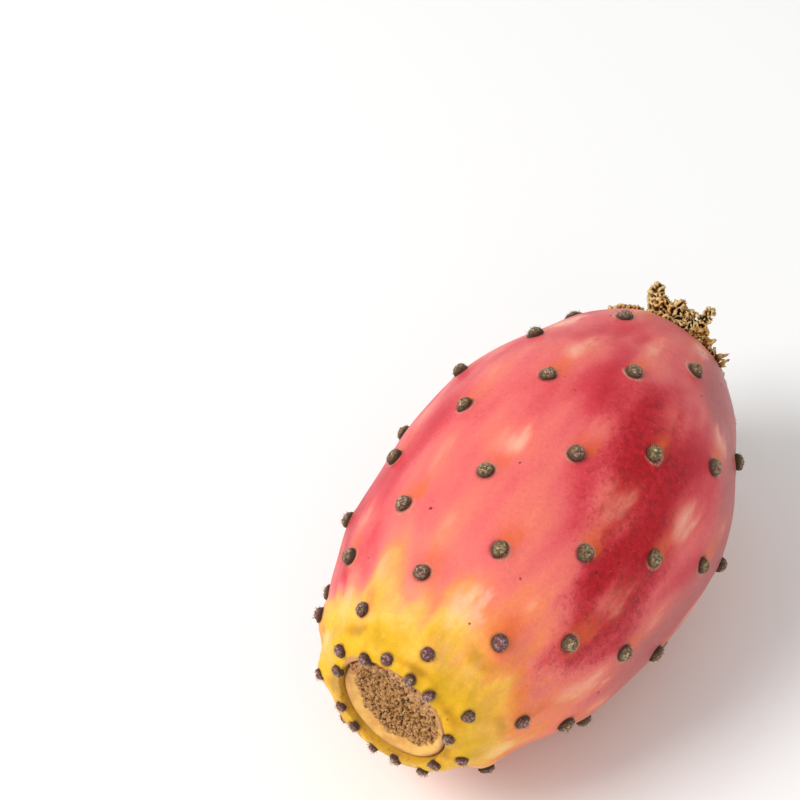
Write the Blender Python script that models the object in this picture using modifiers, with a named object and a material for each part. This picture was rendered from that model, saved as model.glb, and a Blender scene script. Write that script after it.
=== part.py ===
"""A prickly pear fruit as picked, lying on its side on a small flat spot.

The floral scar faces -Y, the torn stem end faces +Y and Z is up, in metres. The origin is on the
resting surface, under the middle of the fruit's bounding box.
"""

import math
import random

import bmesh
import bpy
import numpy as np
from mathutils import Euler, Matrix, Vector

NODE_NAME = "prickly_pear_fruit"

# Outline of the fruit as pairs of distance along it, from the rim of the floral scar, and radius.
SCAR_DISH = ((0.0017, 0.0), (0.0017, 0.0036), (0.0016, 0.0064), (0.0012, 0.0077), (0.0006, 0.0083))
FLANK = (
    (0.0, 0.0089), (0.0006, 0.0105), (0.0022, 0.0129), (0.0048, 0.0149), (0.0120, 0.0184),
    (0.0218, 0.0221), (0.0323, 0.02395), (0.0444, 0.0248), (0.0565, 0.0234), (0.0670, 0.0191),
    (0.0750, 0.0151), (0.0792, 0.0116), (0.0807, 0.0093),
)
STEM_DISH = ((0.0806, 0.0082), (0.0799, 0.0070), (0.0795, 0.0040), (0.0795, 0.0))
LENGTH = FLANK[-1][0]
SIDEWAYS_BEND = 0.0014       # how far the middle of the axis bows towards +X
FLATTENING = 0.94            # height of the cross-section over its width
SCAR_TILT = 0.06             # slope of the floral scar's plane, which looks a little downwards
TILT_ANGLE = math.radians(30)    # the side on which its rim stands furthest out
SCAR_SHIFT = (0.00086, 0.00114)  # how far the scar's middle lies across and above the fruit's axis
SCAR_OVAL = 0.15             # how much taller it is than the flattened fruit would make it
SCAR_EDGE = 0.0089           # radius within which its shift and its oval hold in full
SCAR_BLEND = 0.0030          # distance outside that radius over which they fade
TIP_REACH = 0.009            # distance along the fruit over which all of these fade
REST_CUT = 0.0006            # how much of the belly the flat resting spot takes off
SLOPE_STEP = 0.0003          # half the distance over which the skin's slope is measured

# Grid of the body. Rings crowd towards the floral scar, where the relief is finest.
SIDES = 44
FLANK_RINGS = 32
RING_CROWDING = 1.35

# Areoles sit on one spiral: a fixed turn from each to the next, and a distance along the flank
# that is slow round the floral scar and quick towards the stem. Pairs of number and distance.
AREOLE_TURN = math.radians(202.6)
FIRST_ANGLE = math.radians(226.8)
SPIRAL_STAGES = (
    (0, 0.0004), (11, 0.0019), (20, 0.0098), (29, 0.0194),
    (41, 0.0330), (53, 0.0479), (67, 0.0659), (81, 0.0915),
)
AREOLE_COUNT = 79
AREOLE_RADIUS = 0.00125
AREOLE_HEIGHT = 0.0011
AREOLE_AT_RIM = 0.76         # size of the crowded pads round the floral scar, as a share of the others
AREOLES_GROW = 0.016         # distance from the rim at which they have their full size
AREOLE_SIDES = 7
AREOLE_RINGS = 4
AREOLE_ANGLE_WOBBLE = math.radians(1.5)
AREOLE_SHIFT_WOBBLE = 0.0003

# Each areole stands on a swelling, high near the floral scar and faint on the belly.
SWELLING_HEIGHT = 0.0013
SWELLING_FAINTEST = 0.00015
SWELLING_REACH = 0.0125      # distance along the fruit over which the swellings fade
SWELLING_RADIUS = 0.0030
SWELLING_STARTS = 0.0045     # distance from the scar's rim at which they reach their full height
SWELLING_AT_RIM = 0.4        # share of that height which they have at the rim itself
SWELLINGS_END = 0.038        # where along Y the skin is left plain, short of the stem scar
HOLLOW_SHARE = 0.55          # depth of the hollows between them, as a share of their height

# Dried tissue left where the fruit was torn from its stem: a crumbly edge all round, and clumps on
# its upper side, each with its angle round the fruit, half its spread, its height and its crumbs.
EDGE_CRUMBS = 22
EDGE_CRUMB_RADIUS = (0.0009, 0.0015)
EDGE_RING_RADIUS = (0.0078, 0.0094)
EDGE_CRUMB_SUNK = 0.0002
CLUMPS = (
    (math.radians(130), math.radians(20), 0.0014, 4),
    (math.radians(97), math.radians(18), 0.0062, 10),
    (math.radians(68), math.radians(18), 0.0046, 8),
    (math.radians(38), math.radians(16), 0.0030, 4),
)
CLUMP_CRUMB_RADIUS = (0.0013, 0.0021)
CLUMP_RING_RADIUS = 0.0080
CLUMP_SUNK = 0.0008
CLUMP_NARROWING = 0.7        # how much narrower a clump is at its top
CLUMP_LEAN = Vector((0.05, 0.62, 0.78)).normalized()
FLAKES_PER_CLUMP = 4
FLAKE_LENGTH = (0.0034, 0.0052)
FLAKE_RADIUS = (0.0009, 0.0015)
FLAKE_THINNESS = 0.5
FLAKE_TIP = 0.3              # radius of a flake's tip, as a share of its foot's
FLAKE_LEVEL = (0.0, 0.55)    # where in the clump's height a flake stands
FLAKE_WANDER = 0.75          # how far a flake may turn from the clump's own lean
CRUMB_ROUGHNESS = (0.72, 1.25)
SEED = 7

SKIN_COLOUR = (0.72, 0.12, 0.12, 1.0)
FELT_COLOUR = (0.13, 0.09, 0.05, 1.0)
DRY_COLOUR = (0.27, 0.15, 0.06, 1.0)


def spline(knots, values, at):
    """Smooth curve through the values at the knots, read at one place or several."""
    knots, values = np.array(knots, float), np.array(values, float)
    steps = np.diff(knots)
    slopes = np.diff(values) / steps
    inner = (slopes[:-1] * steps[1:] + slopes[1:] * steps[:-1]) / (steps[:-1] + steps[1:])
    tangents = np.concatenate(([slopes[0]], inner, [slopes[-1]]))
    cell = np.clip(np.searchsorted(knots, at) - 1, 0, len(steps) - 1)
    part = (at - knots[cell]) / steps[cell]
    start = values[cell] * (1 + 2 * part) + steps[cell] * tangents[cell] * part
    end = values[cell + 1] * (3 - 2 * part) - steps[cell] * tangents[cell + 1] * (1 - part)
    return start * (1 - part) ** 2 + end * part**2


def flank_table(samples=1200):
    """Arc distance, distance along the fruit and radius, at close steps down the flank."""
    points = np.array(FLANK)
    chord = np.concatenate(([0], np.cumsum(np.hypot(*np.diff(points, axis=0).T))))
    at = np.linspace(0, chord[-1], samples)
    along, radius = spline(chord, points[:, 0], at), spline(chord, points[:, 1], at)
    arc = np.concatenate(([0], np.cumsum(np.hypot(np.diff(along), np.diff(radius)))))
    return arc, along, radius


ARC, ARC_ALONG, ARC_RADIUS = flank_table()


def flank_at(arc):
    return float(np.interp(arc, ARC, ARC_ALONG)), float(np.interp(arc, ARC, ARC_RADIUS))


def laid_down(along, radius, angle):
    """The place of a point of the turned body once the fruit lies along Y, bowed and flattened."""
    share = min(max(along / LENGTH, 0), 1)
    bow = SIDEWAYS_BEND * 4 * share * (1 - share)
    at_tip = math.exp(-((along / TIP_REACH) ** 2))
    at_scar = at_tip * math.exp(-((max(radius - SCAR_EDGE, 0) / SCAR_BLEND) ** 2))
    tilt = SCAR_TILT * radius * math.cos(angle - TILT_ANGLE) * at_tip
    x = radius * math.cos(angle) + bow + SCAR_SHIFT[0] * at_scar
    z = radius * math.sin(angle) * (FLATTENING + SCAR_OVAL * at_scar) + SCAR_SHIFT[1] * at_scar
    return Vector((x, along - LENGTH / 2 - tilt, z))


def skin_turn(arc, angle):
    """A rotation whose X axis runs down the flank towards the stem and whose Z axis leaves the skin."""
    along, radius = flank_at(arc)
    onward = laid_down(*flank_at(arc + SLOPE_STEP), angle) - laid_down(*flank_at(arc - SLOPE_STEP), angle)
    turn = SLOPE_STEP / radius
    around = laid_down(along, radius, angle + turn) - laid_down(along, radius, angle - turn)
    onward.normalize()
    outward = onward.cross(around).normalized()
    return Matrix((onward, outward.cross(onward), outward)).transposed().to_4x4()


def areole_share(arc):
    """Size of an areole's pad at a distance from the scar, as a share of full size."""
    return AREOLE_AT_RIM + (1 - AREOLE_AT_RIM) * min(arc / AREOLES_GROW, 1)


def areole_places():
    """Arc distance and angle of every areole, by the spiral rule with a small seeded wobble."""
    rng = random.Random(SEED)
    numbers, distances = zip(*SPIRAL_STAGES)
    places = []
    for number in range(AREOLE_COUNT):
        arc = float(spline(numbers, distances, number))
        arc += rng.uniform(-1, 1) * AREOLE_SHIFT_WOBBLE
        angle = FIRST_ANGLE + number * AREOLE_TURN + rng.uniform(-1, 1) * AREOLE_ANGLE_WOBBLE
        places.append((max(arc, 0.0004), angle))
    return places


def outline():
    """The turned profile, from the middle of the floral scar to the middle of the stem scar."""
    shares = [(ring / FLANK_RINGS) ** RING_CROWDING for ring in range(FLANK_RINGS + 1)]
    flank = [flank_at(ARC[-1] * share) for share in shares]
    return [*SCAR_DISH, *flank, *STEM_DISH]


def turned_body():
    """The plain body: the profile turned about Z, with the floral scar on top."""
    mesh = bpy.data.meshes.new("profile")
    points = [(radius, 0, -along) for along, radius in outline()]
    mesh.from_pydata(points, [(i, i + 1) for i in range(len(points) - 1)], [])
    profile = bpy.data.objects.new("profile", mesh)
    bpy.context.scene.collection.objects.link(profile)
    screw = profile.modifiers.new("turn", "SCREW")
    screw.axis = "Z"
    screw.steps = screw.render_steps = SIDES
    screw.use_merge_vertices = True
    screw.merge_threshold = 0.00001
    graph = bpy.context.evaluated_depsgraph_get()
    body = bpy.data.meshes.new_from_object(profile.evaluated_get(graph))
    bpy.data.objects.remove(profile)
    return body


def swelling(point, centres):
    """How far the skin stands out at a point: up under the areoles, down between them."""
    along = max(point.y + LENGTH / 2, 0)
    height = SWELLING_FAINTEST + SWELLING_HEIGHT * math.exp(-((along / SWELLING_REACH) ** 2))
    height *= SWELLING_AT_RIM + (1 - SWELLING_AT_RIM) * min(along / SWELLING_STARTS, 1)
    near = sum(math.exp(-((point - centre).length_squared / SWELLING_RADIUS**2)) for centre in centres)
    return height * (min(near, 1.0) - HOLLOW_SHARE)


def shape_body(mesh, centres):
    """Lays the turned body down and raises its relief."""
    for vertex in mesh.vertices:
        x, y, z = vertex.co
        vertex.co = laid_down(-z, math.hypot(x, y), math.atan2(y, x))
    mesh.update()
    normals = [vertex.normal.copy() for vertex in mesh.vertices]
    for vertex, normal in zip(mesh.vertices, normals):
        if vertex.co.y < SWELLINGS_END:
            vertex.co += normal * swelling(vertex.co, centres)


def add_shape(name, make, matrix, collection, material):
    """One closed shape made in bmesh and put in place, ready to be joined to the body."""
    shape = bmesh.new()
    make(shape)
    shape.transform(matrix)
    mesh = bpy.data.meshes.new(name)
    shape.to_mesh(mesh)
    shape.free()
    mesh.materials.append(material)
    collection.objects.link(bpy.data.objects.new(name, mesh))


def add_areoles(places, centres, collection, material):
    """A low felt cushion at every areole, half of it sunk in the skin."""
    for (arc, angle), centre in zip(places, centres):
        share = areole_share(arc)
        size = Matrix.Diagonal((AREOLE_RADIUS * share, AREOLE_RADIUS * share, AREOLE_HEIGHT * share, 1))
        raised = Matrix.Translation((0, 0, swelling(centre, centres)))
        matrix = Matrix.Translation(centre) @ skin_turn(arc, angle) @ raised @ size
        add_shape("areole", lambda shape: bmesh.ops.create_uvsphere(
            shape, u_segments=AREOLE_SIDES, v_segments=AREOLE_RINGS, radius=1), matrix, collection, material)


def add_crumb(rng, place, size, collection, material):
    """A rough grain: an icosphere with each corner pushed in or out, turned any way."""
    def make(shape):
        bmesh.ops.create_icosphere(shape, subdivisions=1, radius=size)
        for vertex in shape.verts:
            vertex.co *= rng.uniform(*CRUMB_ROUGHNESS)
    turn = Euler([rng.uniform(0, math.tau) for _ in range(3)]).to_matrix().to_4x4()
    add_shape("crumb", make, Matrix.Translation(place) @ turn, collection, material)


def add_flake(rng, root, way, collection, material):
    """A thin pointed flake that stands on its root."""
    long, thick = rng.uniform(*FLAKE_LENGTH), rng.uniform(*FLAKE_RADIUS)
    size = Matrix.Diagonal((thick, thick * FLAKE_THINNESS, long, 1))
    spin = Matrix.Rotation(rng.uniform(0, math.tau), 4, "Z")
    turn = way.to_track_quat("Z", "X").to_matrix().to_4x4() @ spin
    middle = root + way.normalized() * long * 0.4
    add_shape("flake", lambda shape: bmesh.ops.create_cone(
        shape, cap_ends=True, segments=5, radius1=1, radius2=FLAKE_TIP, depth=1),
        Matrix.Translation(middle) @ turn @ size, collection, material)


def on_stem_rim(radius, angle, sunk):
    """A place on the plane of the stem scar's rim, a little inside the fruit."""
    return Vector((radius * math.cos(angle), LENGTH / 2 - sunk, radius * math.sin(angle) * FLATTENING))


def add_clump(rng, clump, collection, material):
    """One heap of dried tissue, narrower towards its top, with flakes standing out of it."""
    middle, spread, height, crumbs = clump
    for number in range(crumbs):
        level = number / (crumbs - 1)
        angle = middle + rng.uniform(-1, 1) * spread * (1 - CLUMP_NARROWING * level)
        size = rng.uniform(*CLUMP_CRUMB_RADIUS) * (1.1 - 0.3 * level)
        place = on_stem_rim(CLUMP_RING_RADIUS, angle, CLUMP_SUNK) + CLUMP_LEAN * height * level
        add_crumb(rng, place, size, collection, material)
    for _ in range(FLAKES_PER_CLUMP):
        angle = middle + rng.uniform(-1, 1) * spread
        sideways = Vector((math.cos(angle), 0, math.sin(angle))) * rng.uniform(0.2, 1.0)
        way = CLUMP_LEAN + sideways + Vector([rng.uniform(-1, 1) for _ in range(3)]) * FLAKE_WANDER
        root = on_stem_rim(CLUMP_RING_RADIUS, (middle + angle) / 2, CLUMP_SUNK)
        root += CLUMP_LEAN * height * rng.uniform(*FLAKE_LEVEL)
        add_flake(rng, root, way, collection, material)


def add_torn_stem(collection, material):
    """The crumbly edge round the stem scar, and the clumps of dried tissue on its upper side."""
    rng = random.Random(SEED + 1)
    for number in range(EDGE_CRUMBS):
        angle = math.tau * (number + rng.uniform(-0.3, 0.3)) / EDGE_CRUMBS
        place = on_stem_rim(rng.uniform(*EDGE_RING_RADIUS), angle, EDGE_CRUMB_SUNK)
        add_crumb(rng, place, rng.uniform(*EDGE_CRUMB_RADIUS), collection, material)
    for clump in CLUMPS:
        add_clump(rng, clump, collection, material)


def principled(name, colour, roughness):
    material = bpy.data.materials.new(name)
    material.use_nodes = True
    shader = material.node_tree.nodes["Principled BSDF"]
    shader.inputs["Base Color"].default_value = colour
    shader.inputs["Roughness"].default_value = roughness
    shader.inputs["Metallic"].default_value = 0.0
    return material


def new_collection(name):
    collection = bpy.data.collections.new(name)
    bpy.context.scene.collection.children.link(collection)
    return collection


def join_and_cut(fruit, growths, cutter):
    """Joins the growths to the body, trims the flat resting spot, and keeps the result as a mesh."""
    union = fruit.modifiers.new("growths", "BOOLEAN")
    union.operation = "UNION"
    union.operand_type = "COLLECTION"
    union.collection = growths
    union.solver = "EXACT"
    union.material_mode = "TRANSFER"
    trim = fruit.modifiers.new("resting spot", "BOOLEAN")
    trim.operation = "DIFFERENCE"
    trim.object = cutter
    trim.solver = "EXACT"
    graph = bpy.context.evaluated_depsgraph_get()
    whole = bpy.data.meshes.new_from_object(fruit.evaluated_get(graph))
    fruit.modifiers.clear()
    fruit.data = whole
    for operand in [*growths.objects, cutter]:
        bpy.data.objects.remove(operand)
    bpy.data.collections.remove(growths)


def rest_cutter(floor):
    """A block whose top face is the resting surface."""
    bpy.ops.mesh.primitive_cube_add(size=1)
    cutter = bpy.context.active_object
    cutter.name = "rest_cutter"
    cutter.scale = (LENGTH * 2, LENGTH * 2, 0.01)
    cutter.location = (0, 0, floor - 0.005)
    cutter.hide_render = True
    cutter.display_type = "WIRE"
    return cutter


def stand_on_origin(mesh):
    """Moves the mesh so that the origin is under the middle of its box."""
    corners = np.array([vertex.co for vertex in mesh.vertices])
    low, high = corners.min(axis=0), corners.max(axis=0)
    shift = Vector((-(low[0] + high[0]) / 2, -(low[1] + high[1]) / 2, -low[2]))
    mesh.transform(Matrix.Translation(shift))
    print("fruit moved by", [round(value * 1000, 3) for value in shift], "mm")


def main():
    for obj in list(bpy.data.objects):
        bpy.data.objects.remove(obj)
    skin = principled("ripe_skin", SKIN_COLOUR, 0.42)
    felt = principled("areole_felt", FELT_COLOUR, 0.9)
    dry = principled("dried_tissue", DRY_COLOUR, 0.95)

    places = areole_places()
    centres = [laid_down(*flank_at(arc), angle) for arc, angle in places]
    body = turned_body()
    shape_body(body, centres)
    body.materials.append(skin)

    fruit = bpy.data.objects.new(NODE_NAME, body)
    new_collection("prickly_pear").objects.link(fruit)
    growths = new_collection("growths")
    add_areoles(places, centres, growths, felt)
    add_torn_stem(growths, dry)
    belly = max(radius for _, radius in FLANK) * FLATTENING
    join_and_cut(fruit, growths, rest_cutter(REST_CUT - belly))
    stand_on_origin(fruit.data)
    fruit.data.shade_smooth()
    fruit.data.set_sharp_from_angle(angle=math.radians(40))


main()
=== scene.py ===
# Prickly pear fruit: ripe waxy skin, felt areoles, corky floral scar and torn, dried stem end.
# The fruit lies along Y with its floral scar towards -Y. Everything is in metres.
import math
import random

import bmesh
import bpy
import numpy as np
from mathutils import Euler, Matrix, Vector, noise


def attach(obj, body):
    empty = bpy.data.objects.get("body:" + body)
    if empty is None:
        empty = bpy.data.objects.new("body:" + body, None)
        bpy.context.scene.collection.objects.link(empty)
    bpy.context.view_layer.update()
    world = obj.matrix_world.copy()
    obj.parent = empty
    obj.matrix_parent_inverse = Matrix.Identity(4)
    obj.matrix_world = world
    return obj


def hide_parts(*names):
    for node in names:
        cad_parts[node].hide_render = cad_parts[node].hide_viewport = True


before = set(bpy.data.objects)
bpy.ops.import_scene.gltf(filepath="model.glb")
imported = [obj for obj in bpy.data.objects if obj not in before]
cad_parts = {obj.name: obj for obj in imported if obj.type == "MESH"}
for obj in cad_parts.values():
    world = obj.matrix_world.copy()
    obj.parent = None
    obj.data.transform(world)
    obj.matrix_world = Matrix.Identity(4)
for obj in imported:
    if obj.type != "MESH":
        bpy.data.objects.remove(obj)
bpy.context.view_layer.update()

millimetre = 0.001

# The body as it was built: outline pairs are distance along the fruit and radius.
fruit = {
    "flank": (
        (0.0, 0.0089), (0.0006, 0.0105), (0.0022, 0.0129), (0.0048, 0.0149), (0.0120, 0.0184),
        (0.0218, 0.0221), (0.0323, 0.02395), (0.0444, 0.0248), (0.0565, 0.0234), (0.0670, 0.0191),
        (0.0750, 0.0151), (0.0792, 0.0116), (0.0807, 0.0093),
    ),
    "bend": 0.0014,
    "flattening": 0.94,
    "scarTilt": 0.06,            # slope of the floral scar's plane, which looks a little downwards
    "tiltAngle": math.radians(30),
    "scarShift": (0.00086, 0.00114),    # how far the scar's middle lies across and above the axis
    "scarOval": 0.15,            # how much taller it is than the flattened fruit would make it
    "scarEdge": 0.0089,          # radius within which its shift and its oval hold in full
    "scarBlend": 0.0030,
    "tipReach": 0.009,
    "restCut": 0.0006,
    "acrossMiddle": -0.001675,   # where the axis ends and the half length lie in the frame
    "alongMiddle": -0.001428,
    "areoleTurn": math.radians(202.6),
    "firstAngle": math.radians(226.8),
    "spiralStages": (
        (0, 0.0004), (11, 0.0019), (20, 0.0098), (29, 0.0194),
        (41, 0.0330), (53, 0.0479), (67, 0.0659), (81, 0.0915),
    ),
    "areoleCount": 79,
    "angleWobble": math.radians(1.5),
    "shiftWobble": 0.0003,
    "seed": 7,
}
fruitLength = fruit["flank"][-1][0]
axisHeight = max(radius for along, radius in fruit["flank"]) * fruit["flattening"] - fruit["restCut"]


def splineThrough(knots, values, at):
    knots, values = np.array(knots, float), np.array(values, float)
    steps = np.diff(knots)
    slopes = np.diff(values) / steps
    inner = (slopes[:-1] * steps[1:] + slopes[1:] * steps[:-1]) / (steps[:-1] + steps[1:])
    tangents = np.concatenate(([slopes[0]], inner, [slopes[-1]]))
    cell = np.clip(np.searchsorted(knots, at) - 1, 0, len(steps) - 1)
    part = (at - knots[cell]) / steps[cell]
    start = values[cell] * (1 + 2 * part) + steps[cell] * tangents[cell] * part
    end = values[cell + 1] * (3 - 2 * part) - steps[cell] * tangents[cell + 1] * (1 - part)
    return start * (1 - part) ** 2 + end * part**2


def flankTable():
    points = np.array(fruit["flank"])
    chord = np.concatenate(([0], np.cumsum(np.hypot(*np.diff(points, axis=0).T))))
    at = np.linspace(0, chord[-1], 1200)
    along, radius = splineThrough(chord, points[:, 0], at), splineThrough(chord, points[:, 1], at)
    arc = np.concatenate(([0], np.cumsum(np.hypot(np.diff(along), np.diff(radius)))))
    return arc, along, radius


flankArc, flankAlong, flankRadius = flankTable()


def laidDown(along, radius, angle):
    # the place in the frame of a point of the turned body, bowed and flattened
    share = np.clip(np.asarray(along) / fruitLength, 0, 1)
    atTip = np.exp(-((along / fruit["tipReach"]) ** 2))
    atScar = atTip * np.exp(-((np.maximum(radius - fruit["scarEdge"], 0) / fruit["scarBlend"]) ** 2))
    tilt = fruit["scarTilt"] * radius * np.cos(angle - fruit["tiltAngle"]) * atTip
    x = radius * np.cos(angle) + fruit["bend"] * 4 * share * (1 - share) + fruit["scarShift"][0] * atScar
    tallness = fruit["flattening"] + fruit["scarOval"] * atScar
    z = radius * np.sin(angle) * tallness + fruit["scarShift"][1] * atScar
    y = along - fruitLength / 2 - tilt
    return np.stack([x + fruit["acrossMiddle"], y + fruit["alongMiddle"], z + axisHeight], axis=-1)


def onFlank(arc, angle):
    return laidDown(np.interp(arc, flankArc, flankAlong), np.interp(arc, flankArc, flankRadius), angle)


def areolePlaces():
    rng = random.Random(fruit["seed"])
    numbers, distances = zip(*fruit["spiralStages"])
    places = []
    for number in range(fruit["areoleCount"]):
        arc = float(splineThrough(numbers, distances, number)) + rng.uniform(-1, 1) * fruit["shiftWobble"]
        angle = fruit["firstAngle"] + number * fruit["areoleTurn"] + rng.uniform(-1, 1) * fruit["angleWobble"]
        places.append((max(arc, 0.0004), angle))
    return places


areoles = areolePlaces()
areoleCentres = np.array([onFlank(arc, angle) for arc, angle in areoles])


def smoothStep(low, high, value):
    part = np.clip((value - low) / (high - low), 0, 1)
    return part * part * (3 - 2 * part)


def noiseField(points, sizes, octaves=3, offset=0.0):
    # fractal noise whose grain is the given size along each axis, about -1 to 1
    scaled = np.asarray(points) / np.asarray(sizes) + offset
    return np.array([noise.fractal(Vector(p), 0.9, 2.0, octaves) for p in scaled])


# The swellings that carry the areoles, as built into the body.
relief = {
    "height": 0.0013, "faintest": 0.00015, "reach": 0.0125, "radius": 0.0030,
    "starts": 0.0045, "atRim": 0.4, "end": 0.038, "hollowShare": 0.55,
}


def swelling(points):
    along = np.maximum(points[:, 1] - fruit["alongMiddle"] + fruitLength / 2, 0)
    height = relief["faintest"] + relief["height"] * np.exp(-((along / relief["reach"]) ** 2))
    height = height * (relief["atRim"] + (1 - relief["atRim"]) * np.minimum(along / relief["starts"], 1))
    near = np.zeros(len(points))
    for centre in areoleCentres:
        near += np.exp(-(((points - centre) ** 2).sum(axis=1)) / relief["radius"] ** 2)
    near = near / (1 + near**4) ** 0.25    # levels off softly at 1 where swellings meet
    return height * (near - relief["hollowShare"]), near


def skinTurn(arc, angle):
    # rotation whose X axis runs towards the stem and whose Z axis leaves the skin
    step = 0.0003
    onward = Vector(onFlank(arc + step, angle) - onFlank(arc - step, angle)).normalized()
    turn = step / float(np.interp(arc, flankArc, flankRadius))
    around = Vector(onFlank(arc, angle + turn) - onFlank(arc, angle - turn))
    outward = onward.cross(around).normalized()
    return Matrix((onward, outward.cross(onward), outward)).transposed()


def linearColour(hexCode):
    # sRGB hex to the linear values that the shader takes
    channels = [int(hexCode[i:i + 2], 16) / 255 for i in (0, 2, 4)]
    return [c / 12.92 if c <= 0.04045 else ((c + 0.055) / 1.055) ** 2.4 for c in channels] + [1.0]


def addNode(tree, kind, settings=None, sockets=None):
    # one shader node of this kind with its settings, its constant sockets and its links
    node = tree.nodes.new("ShaderNode" + kind)
    for name, value in (settings or {}).items():
        setattr(node, name, value)
    for key, value in (sockets or {}).items():
        if isinstance(value, bpy.types.NodeSocket):
            tree.links.new(value, node.inputs[key])
        else:
            node.inputs[key].default_value = value
    return node


def newMaterial(name, settings):
    # a Principled material with these values; returns it with its tree and shader
    material = bpy.data.materials.new(name)
    material.use_nodes = True
    tree = material.node_tree
    shader = tree.nodes["Principled BSDF"]
    for key, value in settings.items():
        shader.inputs[key].default_value = value
    return material, tree, shader


def setStops(ramp, stops):
    # gives a colour ramp its pairs of position and colour
    while len(ramp.color_ramp.elements) < len(stops):
        ramp.color_ramp.elements.new(0.5)
    for element, (position, code) in zip(ramp.color_ramp.elements, stops):
        element.position = position
        element.color = linearColour(code)


def perMillimetre(size):
    # texture scale for a grain of this many millimetres
    return 1 / (size * millimetre)


def makeObject(name, points, faces, material, attributes=None, smooth=True):
    mesh = bpy.data.meshes.new(name)
    mesh.from_pydata([tuple(p) for p in points], [], faces)
    for attribute, values in (attributes or {}).items():
        layer = mesh.attributes.new(attribute, "FLOAT", "POINT")
        layer.data.foreach_set("value", np.asarray(values, np.float32))
    mesh.materials.append(material)
    if smooth:
        mesh.shade_smooth()
    mesh.update()
    piece = bpy.data.objects.new(name, mesh)
    bpy.context.scene.collection.objects.link(piece)
    return piece


def ringFaces(rings, sides, first=0):
    # quads between rings of equal size, each ring closed on itself
    ring = np.arange(rings - 1)[:, None] * sides
    side = np.arange(sides)[None, :]
    after = (side + 1) % sides
    quads = np.stack([ring + side, ring + after, ring + sides + after, ring + sides + side], axis=-1)
    return (quads.reshape(-1, 4) + first).tolist()


# Areole: a pad of packed wool with barbed bristles in it. Sizes as built into the body.
areolePad = {
    "radius": 0.00125, "height": 0.0011, "sides": 26, "rings": 12, "foot": math.radians(112),
    "grain": 0.00015, "unevenness": 0.00026, "seed": 31,
    "scarShare": 0.68, "growth": 0.32, "grows": (0.002, 0.020),    # share of full size by distance
    "hairs": 34, "hairLength": (0.00025, 0.00070), "hairRadius": 0.000035, "hairSeed": 41,
    "hairWidths": (1, 0.8, 0.15), "rooted": 0.88,    # roots lie just inside the wool
}


# Skin of a ripe cactus fruit: a living cuticle with a thin wax bloom, never washed or polished.
# Distances are along the skin from the floral scar; angles go round from +X, with 90 degrees on top.
skin = {
    "rings": 250,
    "sides": 372,
    "ringCrowding": 1.2,
    "scarSide": ((0.0030, 0.0), (0.0030, 0.0040), (0.0026, 0.0080), (0.0016, 0.0085), (0.0008, 0.00868),
                 (0.0003, 0.0088)),
    "stemSide": ((0.0805, 0.0087), (0.0790, 0.0080), (0.0783, 0.0062), (0.0782, 0.0040), (0.0782, 0.0)),
    "undulation": 0.00018,
    "undulationSize": (0.009, 0.014, 0.009),
    "wrinkleHeight": 0.00030,
    "wrinkleSize": (0.0026, 0.0065, 0.0026),
    "wrinkleReach": 0.015,
    "collarRadius": 1.20,      # in areole radii
    "collarWidth": 0.30,
    "collarHeight": 0.00010,
    "ripening": (    # distance from the scar against ripeness: 0 is olive yellow, 1 deep crimson
        (-0.004, 0.00), (0.0, 0.05), (0.005, 0.17), (0.008, 0.28), (0.011, 0.40), (0.014, 0.54),
        (0.018, 0.67), (0.026, 0.75), (0.045, 0.80), (0.070, 0.83), (0.090, 0.84),
    ),
    "tongueReach": 0.0062,     # how far the golden zone reaches on past each areole near the scar
    "streakStart": 0.0010,
    "streakLength": (0.010, 0.019),
    "streakHalfWidth": (0.0018, 0.0031),
    "streakSeed": 7,
    "seed": 21,
    "collarSeed": 22,
    "fibre": (0.0013, 0.0060, 0.0013),    # grain of the colours: fine fibres, flames and broad drifts
    "flame": (0.0042, 0.0150, 0.0042),
    "drift": (0.012, 0.024, 0.012),
    "lipWidth": 0.0003,        # dry lip round the scar, widest under the scab at the scabAngle
    "scabWidth": 0.0013,
    "scabAngle": 130,
}


def wrapped(angle):
    return (angle + math.pi) % math.tau - math.pi


def hump(start, top, end, value):
    # 0 before start, 1 at top, 0 after end
    return smoothStep(start, top, value) * (1 - smoothStep(top, end, value))


def areoleScale(arc):
    # the pads are smaller where they crowd round the floral scar
    return areolePad["scarShare"] + areolePad["growth"] * float(smoothStep(*areolePad["grows"], arc))


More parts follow.
